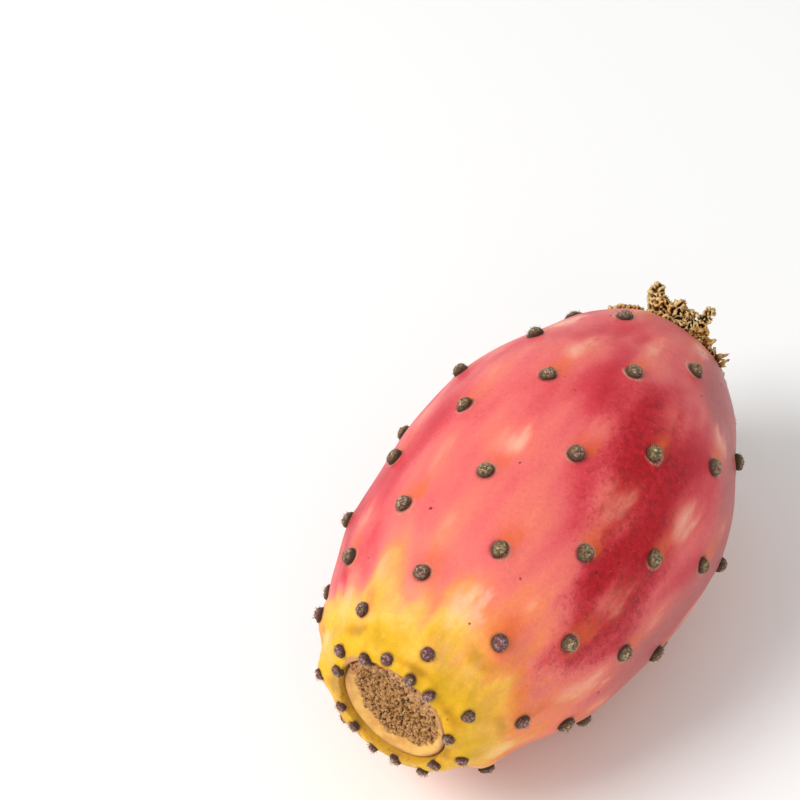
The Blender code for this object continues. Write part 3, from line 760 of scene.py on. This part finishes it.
def buildScar():
    rings, sides = scar["rings"], scar["sides"]
    noise.seed_set(scar["warpSeed"])    # unset, noise_vector would differ from run to run
    mesh = {"points": [scarPlace(0.00001, 0.0)], "faces": [], "inside": [0.0]}
    floors, grooveShading, uppers, rims = [1.0], [0.0], [0.0], [0.0]
    outer = scar["profile"][-1][1]
    for ring in range(1, rings + 1):
        radius = outer * ring / rings
        for side in range(sides):
            angle = math.tau * side / sides
            spot = scarPlace(radius, angle)
            towards = math.cos(angle - scar["shiftAngle"])
            edge = scar["corkRadius"] + scar["corkShift"] * towards
            edge += 0.0005 * noise.noise(Vector((math.cos(angle), math.sin(angle), 0)) * 2.2)
            edge += 0.0005 * noise.noise(spot * 1300)
            floor = float(1 - smoothStep(edge - 0.0004, edge + 0.0004, radius))
            warped = spot + noise.noise_vector(spot * 1500) * 0.00022
            holes = noise.fractal(warped / scar["pitSize"] + Vector((3, 0, 5)), 0.55, 2.2, 4)
            crowded = noise.noise(spot * 500 + Vector((9, 0, 0)))
            crowded -= 0.9 * max(0, towards * radius / outer - 0.45)
            # the pits, sunk below the floor, also carry the painted shade in them
            pit = float(smoothStep(-0.06, 0.34, holes + 0.30 * crowded)) * floor
            rough = noise.fractal(spot * 2600, 0.8, 2.0, 3) * scar["grain"] * (0.12 + 0.88 * floor)
            dome = scar["corkDome"] * floor
            spot.y += pit * scar["pitDepth"] - rough - dome
            mesh["points"].append(spot)
            mesh["inside"].append(pit)
            floors.append(floor)
            # where the groove's painted shade lies
            grooveShading.append(float(smoothStep(*scar["grooveShade"], radius)))
            rims.append(float(smoothStep(0.0076, 0.0083, radius - 0.0004 * noise.noise(spot * 500))))
            uppers.append(float(smoothStep(0.35, 0.95, towards * radius / outer)))
    mesh["faces"] += [(0, 1 + (side + 1) % sides, 1 + side) for side in range(sides)]
    mesh["faces"] += [face[::-1] for face in ringFaces(rings, sides, 1)]
    rng, shape = random.Random(scar["seed"]), grainShape(2)
    for number in range(scar["crumbs"] + scar["scabCrumbs"]):
        if number < scar["crumbs"]:
            angle = rng.uniform(0, math.tau)
            reach = scar["corkRadius"] + scar["corkShift"] * math.cos(angle - scar["shiftAngle"])
            radius, size = reach * rng.uniform(0.1, 1.0) ** 0.5, rng.uniform(*scar["crumbRadius"])
        else:
            angle = math.radians(rng.gauss(skin["scabAngle"] - 6, 13))
            radius, size = rng.uniform(*scar["scabRing"]), rng.uniform(*scar["scabCrumbRadius"])
        before = len(mesh["points"])
        crumb(mesh, rng, shape, scarPlace(radius, angle, scar["corkDome"]), size)
        added = len(mesh["points"]) - before
        floors += [1.0] * added
        grooveShading += [0.0] * added
        uppers += [0.6] * added
        rims += [0.0] * added
    return makeObject("floralScar", mesh["points"], mesh["faces"], scarCork(), {
        "inside": mesh["inside"], "floor": floors, "grooveShade": grooveShading, "upper": uppers, "rim": rims})


# Torn stem end: dried tissue crumpled into one porous tuft, over a crust round a dry scar.
# Each lump of the tuft has its angle, half its spread, its height, its lean, its crumbs and its curls.
stem = {
    "lumps": (
        (95, 9, 0.0060, (-0.26, 0.50, 0.82), 34, 9), (86, 12, 0.0040, (-0.05, 0.60, 0.80), 34, 12),
        (76, 13, 0.0044, (0.05, 0.64, 0.76), 34, 12), (66, 12, 0.0040, (0.12, 0.68, 0.72), 30, 12),
        (58, 4, 0.0056, (0.26, 0.74, 0.60), 20, 3), (52, 11, 0.0026, (0.22, 0.70, 0.66), 24, 8),
        (37, 9, 0.0009, (0.40, 0.75, 0.50), 14, 3),
    ),
    "crumbSize": (0.00070, 0.00130),
    "curlLength": (0.0016, 0.0034),
    "curlRadius": (0.00018, 0.00032),
    "curlWidths": (1, 1, 1.1, 1, 0.9, 0.8, 0.7, 0.4),
    "crustCrumbs": 460,
    "crustArc": (0.0866, 0.0899),
    "crustSpread": 0.0022,     # how much wider the crust is on its upper left side
    "crustCrumbSize": (0.00030, 0.00070),
    "flakes": 26,
    "flakeLength": (0.0009, 0.0022),
    "flakeWidth": (0.0003, 0.0007),
    "sheet": 0.00006,
    "ringRadius": 0.0082,
    "sunk": 0.0008,
    "voxel": 0.00012,
    "speck": 220,              # loose bits with fewer points than this are dropped
    "foldSize": 0.00115,
    "foldDepth": 0.00050,
    "foldWarp": 0.00150,
    "fray": 0.00011,
    "seed": 51,
}


def driedTissue():
    # Plant tissue dried in the air: brittle, dull and fibrous, with painted highlight in straw on its crests
    # and painted shade in its dark clefts.
    # It is stained golden in places where sap has dried in it.
    material, tree, shader = newMaterial("driedStemTissue", {"Roughness": 0.9, "IOR": 1.4})
    place = addNode(tree, "TexCoord").outputs["Object"]
    inside = addNode(tree, "Attribute", {"attribute_name": "inside"}).outputs["Fac"]
    grain = addNode(tree, "TexNoise", {}, {
        "Vector": place, "Scale": perMillimetre(0.6), "Detail": 4.0, "Roughness": 0.65}).outputs[0]
    # the inside value brings painted shade to clefts and roots, and painted highlight to crests
    stirred = addNode(tree, "Math", {"operation": "MULTIPLY_ADD"}, {0: grain, 1: 0.9, 2: -0.45}).outputs[0]
    depth = addNode(tree, "Math", {"operation": "ADD", "use_clamp": True}, {0: inside, 1: stirred}).outputs[0]
    ramp = addNode(tree, "ValToRGB", {}, {"Fac": depth})
    stops = ((0.0, "E2C892"), (0.22, "BC924F"), (0.46, "85592A"), (0.78, "331808"))
    setStops(ramp, stops)
    stain = addNode(tree, "TexNoise", {}, {
        "Vector": place, "Scale": perMillimetre(2.4), "Detail": 2.0}).outputs[0]
    sappy = addNode(tree, "MapRange", {}, {
        "Value": stain, "From Min": 0.46, "From Max": 0.64, "To Max": 0.6}).outputs[0]
    tint = addNode(tree, "Mix", {"data_type": "RGBA", "blend_type": "MULTIPLY"}, {
        0: sappy, 6: ramp.outputs["Color"], 7: linearColour("FFD27C")})
    tree.links.new(tint.outputs[2], shader.inputs["Base Color"])
    crumble = addNode(tree, "Bump", {}, {"Strength": 0.6, "Distance": 0.0002, "Height": grain})
    tree.links.new(crumble.outputs[0], shader.inputs["Normal"])
    return material


def onStemRim(radius, angle, sunk):
    return Vector(laidDown(fruitLength - sunk, radius, angle))


def fused(mesh, voxel, speck):
    # melts overlapping closed bits into one shell and drops loose specks
    rough = bpy.data.meshes.new("rough")
    rough.from_pydata([tuple(p) for p in mesh["points"]], [], mesh["faces"])
    piece = bpy.data.objects.new("rough", rough)
    bpy.context.scene.collection.objects.link(piece)
    melt = piece.modifiers.new("melt", "REMESH")
    melt.mode, melt.voxel_size = "VOXEL", voxel
    solid = bpy.data.meshes.new_from_object(piece.evaluated_get(bpy.context.evaluated_depsgraph_get()))
    bpy.data.objects.remove(piece)
    shell = bmesh.new()
    shell.from_mesh(solid)
    seen, specks = set(), []
    for vertex in shell.verts:
        if vertex in seen:
            continue
        seen.add(vertex)
        island, front = [], [vertex]
        while front:
            here = front.pop()
            island.append(here)
            for edge in here.link_edges:
                other = edge.other_vert(here)
                if other not in seen:
                    seen.add(other)
                    front.append(other)
        if len(island) < speck:
            specks += island
    bmesh.ops.delete(shell, geom=specks, context="VERTS")
    shell.verts.index_update()
    shell.normal_update()
    points = np.array([vertex.co for vertex in shell.verts])
    normals = np.array([vertex.normal for vertex in shell.verts])
    edges = np.array([[vertex.index for vertex in edge.verts] for edge in shell.edges])
    faces = [[vertex.index for vertex in face.verts] for face in shell.faces]
    shell.free()
    return points, normals, edges, faces


def clefts(points, normals, edges, passes, depth):
    # about 1 in clefts and below 0 on crests: how far smoothing would lift each point
    smooth = points.copy()
    neighbours = np.maximum(np.bincount(edges.ravel(), minlength=len(points)), 1)[:, None]
    for _ in range(passes):
        total = np.zeros_like(smooth)
        np.add.at(total, edges[:, 0], smooth[edges[:, 1]])
        np.add.at(total, edges[:, 1], smooth[edges[:, 0]])
        smooth = (smooth + total / neighbours) / 2
    return ((smooth - points) * normals).sum(axis=1) / depth


def scrap(mesh, rng, root, way, long, wide, depth):
    # a torn scrap: a thin closed sheet that curls and crumples, with painted shade darkest at its root and in
    # its crumples
    rows, columns = 8, 5
    ahead = way.normalized()
    side = ahead.cross(Vector([rng.uniform(-1, 1) for _ in range(3)])).normalized()
    up = side.cross(ahead)
    curl, cup = rng.uniform(-0.8, 0.8), rng.uniform(-1.0, 1.0)
    seed = Vector([rng.uniform(0, 50) for _ in range(3)])
    sheet, shade = [], []
    for row in range(rows):
        part = row / (rows - 1)
        half = wide * (0.6 + 0.7 * part - 0.9 * part**4)
        for column in range(columns):
            off = 2 * column / (columns - 1) - 1
            crumple = noise.fractal(Vector((part * 2.6, off * 1.5, 0)) + seed, 0.8, 2.1, 3)
            ragged = 1 + 0.5 * noise.noise(Vector((off * 2.5, 7, 0)) + seed) * part
            lift = curl * long * part**2 + cup * half * off**2 + 0.45 * wide * crumple
            sheet.append(root + ahead * long * part * ragged + side * half * off + up * lift)
            # painted shade: dark towards the root and in the low parts of the crumples
            shade.append(min(1, max(0, depth * (1 - part) - 0.35 * crumple + 0.10)))
    first, count = len(mesh["points"]), len(sheet)
    for off in (up * stem["sheet"], -up * stem["sheet"]):
        mesh["points"] += [spot + off for spot in sheet]
    mesh["inside"] += shade + shade
    for row in range(rows - 1):
        for column in range(columns - 1):
            corner = first + row * columns + column
            quad = (corner, corner + columns, corner + columns + 1, corner + 1)
            mesh["faces"] += [quad, tuple(index + count for index in reversed(quad))]
    rim = [row * columns for row in range(rows)]
    rim += [(rows - 1) * columns + column for column in range(1, columns)]
    rim += [row * columns + columns - 1 for row in reversed(range(rows - 1))]
    rim += reversed(range(1, columns - 1))
    for here, after in zip(rim, rim[1:] + rim[:1]):
        mesh["faces"].append((first + here, first + here + count, first + after + count, first + after))


def buildTornStem():
    rng = random.Random(stem["seed"])
    shape = grainShape(2)
    mesh = {"points": [], "faces": [], "inside": []}

    def anyWay(reach):
        return Vector([rng.uniform(-reach, reach) for _ in range(3)])

    for number in range(stem["crustCrumbs"]):
        angle = math.tau * (number + rng.uniform(-0.5, 0.5)) / stem["crustCrumbs"]
        ragged = 0.5 + 0.5 * noise.noise(Vector((math.cos(angle) * 3, math.sin(angle) * 3, 5)))
        low, high = stem["crustArc"]
        wider = math.exp(-(((math.degrees(angle) - 118) / 20) ** 2))
        arc = high - ((high - low) * max(ragged, wider) + stem["crustSpread"] * wider) * rng.uniform(0, 1)
        crumb(mesh, rng, shape, Vector(onFlank(arc, angle)), rng.uniform(*stem["crustCrumbSize"]))
    for degrees, spread, height, lean, crumbs, curls in stem["lumps"]:
        lean = Vector(lean).normalized()

        def inLump(level, narrowing):
            angle = math.radians(degrees + rng.uniform(-1, 1) * spread * (1.0 - narrowing * level))
            radius = stem["ringRadius"] + rng.uniform(-1, 1) * 0.0012 * (1 - 0.4 * level)
            return onStemRim(radius, angle, stem["sunk"]) + lean * height * level

        for number in range(crumbs):
            level = (number / (crumbs - 1)) ** 0.9
            place = inLump(level, 0.60)
            crumb(mesh, rng, shape, place, rng.uniform(*stem["crumbSize"]) * (1.05 - 0.35 * level))
        for number in range(curls):
            # a strand of torn tissue that bends round and back into the mass
            here = inLump(rng.uniform(0.0, 0.80), 0.7)
            way, turning = (lean + anyWay(0.9)).normalized(), anyWay(1.0)
            long, thick = rng.uniform(*stem["curlLength"]), rng.uniform(*stem["curlRadius"])
            path = []
            for _ in stem["curlWidths"]:
                path.append(here.copy())
                here += way * long / (len(stem["curlWidths"]) - 1)
                way = (way + way.cross(turning) * 0.42 + anyWay(0.12)).normalized()
            sweep(mesh["points"], mesh["faces"], path, [thick * w for w in stem["curlWidths"]], 6)
    points, normals, edges, faces = fused(mesh, stem["voxel"], stem["speck"])
    # crumpled into thin folds: noise whose zero lines stand up as ridges
    swirl = np.stack([noiseField(points, (0.0022,) * 3, 1, offset) for offset in (1, 4, 7)], axis=1)
    warped = points + swirl * stem["foldWarp"]
    folds = 1 - 4.0 * np.abs(noiseField(warped, (stem["foldSize"],) * 3, 2, 3.0))
    folds = np.clip(folds, -1, 1)
    frayed = noiseField(points, (0.00045,) * 3, 3, 8.0)
    points = points + normals * (stem["foldDepth"] * (folds - 0.2) + stem["fray"] * frayed)[:, None]
    # painted shade in the clefts and painted highlight on the crests of the folds
    inside = 0.7 * clefts(points, normals, edges, 16, 0.00036) - 0.27 * folds - 0.25 * frayed + 0.38
    mesh = {"points": [Vector(p) for p in points], "faces": faces, "inside": list(np.clip(inside, 0, 1))}
    for number in range(stem["flakes"]):
        # thin flakes of dried skin, most of them on the low end of the tuft
        angle = math.radians(rng.gauss(42, 10))
        root = Vector(onFlank(rng.uniform(0.0872, 0.0896), angle))
        way = Vector((math.cos(angle), 0, math.sin(angle))) * rng.uniform(0.1, 0.8) + Vector((0, 0.9, 0))
        way += anyWay(0.6)
        scrap(mesh, rng, root, way, rng.uniform(*stem["flakeLength"]), rng.uniform(*stem["flakeWidth"]), 0.6)
    return makeObject("driedStemTuft", mesh["points"], mesh["faces"], driedTissue(),
                      {"inside": mesh["inside"]})


# Dry face inside the torn edge, sunk a little, with rings and cracks.
stemFace = {"rings": 60, "sides": 220, "radius": 0.0088, "along": 0.0795, "rise": 0.0014,
            "riseAt": (0.0055, 0.0084), "ridge": 0.00035, "spokes": 0.00022}


def buildStemScar():
    rings, sides = stemFace["rings"], stemFace["sides"]
    points, inside = [laidDown(stemFace["along"], 0.0, 0.0)], [0.3]
    for ring in range(1, rings + 1):
        radius = stemFace["radius"] * ring / rings
        along = stemFace["along"] + stemFace["rise"] * float(smoothStep(*stemFace["riseAt"], radius))
        for side in range(sides):
            angle = math.tau * side / sides
            spot = laidDown(along, radius, angle)
            ridge = noise.fractal(Vector((spot[0], 0, spot[2])) * 900, 0.8, 2.0, 4)
            spokes = noise.noise(Vector((math.cos(angle), math.sin(angle), radius * 120)) * 5)
            raised = stemFace["ridge"] * ridge + stemFace["spokes"] * spokes
            points.append(spot + np.array((0, raised, 0)))
            # painted shade in the low cracks, lighter on the raised ridges
            inside.append(min(1, max(0, 0.40 - 0.35 * ridge - 0.3 * spokes)))
    faces = [(0, 1 + side, 1 + (side + 1) % sides) for side in range(sides)] + ringFaces(rings, sides, 1)
    return makeObject("stemScar", points, faces, bpy.data.materials["driedStemTissue"], {"inside": inside})


# Camera where the photograph was taken from, at life size over a frame of 800 by 800 pixels.
camera = {"elevation": math.radians(47.4), "azimuth": math.radians(29.7), "distance": 0.5,
          "metresPerPixel": 0.050 / 342, "fruitPixel": (530.55, 529.75), "frame": 800, "sensor": 36.0}


def addCamera():
    tall, turn = camera["elevation"], camera["azimuth"]
    back = Vector((math.sin(turn) * math.cos(tall), -math.cos(turn) * math.cos(tall), math.sin(tall)))
    right = Vector((math.cos(turn), math.sin(turn), 0))
    up = back.cross(right)
    middle = Vector((fruit["acrossMiddle"], fruit["alongMiddle"], axisHeight))
    half = camera["frame"] / 2
    aim = middle - right * (camera["fruitPixel"][0] - half) * camera["metresPerPixel"]
    aim += up * (camera["fruitPixel"][1] - half) * camera["metresPerPixel"]
    lens = bpy.data.cameras.new("camera")
    lens.sensor_width = camera["sensor"]
    lens.lens = camera["sensor"] * camera["distance"] / (camera["frame"] * camera["metresPerPixel"])
    lens.clip_start = 0.01
    view = bpy.data.objects.new("camera", lens)
    view.location = middle + back * camera["distance"]
    away = (view.location - aim).normalized()
    level = (right - away * right.dot(away)).normalized()
    view.rotation_euler = Matrix((level, away.cross(level), away)).transposed().to_euler()
    bpy.context.scene.collection.objects.link(view)
    bpy.context.scene.camera = view


# Soft studio: a large lamp high on the left, a weaker one opposite, and a white surround.
studio = {
    "surround": 0.58,
    "lamps": (("keyLamp", (-0.42, -0.50, 0.70), 0.5, 6.4), ("fillLamp", (0.5, -0.7, 0.4), 0.7, 0.8)),
    "floorSize": 3,
}


def addStudio():
    for name, place, size, power in studio["lamps"]:
        light = bpy.data.lights.new(name, "AREA")
        light.size = size
        light.energy = power
        lamp = bpy.data.objects.new(name, light)
        lamp.location = place
        lamp.rotation_euler = (Vector((0, 0, 0.02)) - Vector(place)).to_track_quat("-Z", "Y").to_euler()
        bpy.context.scene.collection.objects.link(lamp)
    world = bpy.data.worlds.new("whiteSurround")
    world.use_nodes = True
    sky = world.node_tree.nodes["Background"]
    sky.inputs["Color"].default_value = (1, 1, 1, 1)
    sky.inputs["Strength"].default_value = studio["surround"]
    bpy.context.scene.world = world
    bpy.context.scene.view_settings.view_transform = "Standard"
    bpy.ops.mesh.primitive_plane_add(size=studio["floorSize"])
    floor = bpy.context.active_object
    floor.name = "paleFloor"
    board = newMaterial("mattWhiteBoard", {"Roughness": 0.9, "Base Color": linearColour("FBFBFA")})[0]
    floor.data.materials.append(board)


skinPiece = buildSkin()
print("skin built:", len(skinPiece.data.polygons), "faces")
seats = areoleSeats()
pads = buildAreoles(seats)
hairs = buildBristles(seats)
print("areoles built:", len(seats))
floralScar = buildScar()
tuft = buildTornStem()
stemScar = buildStemScar()
print("floral scar and torn stem built")
addCamera()
addStudio()
print("camera and lamps placed")

for piece, slot in ((skinPiece, "skin"), (pads, "areole_felt"), (hairs, "bristle"), (floralScar, "scar_cork"),
                    (tuft, "dried_tissue"), (stemScar, "dried_tissue")):
    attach(piece, "root")
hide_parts("prickly_pear_fruit")
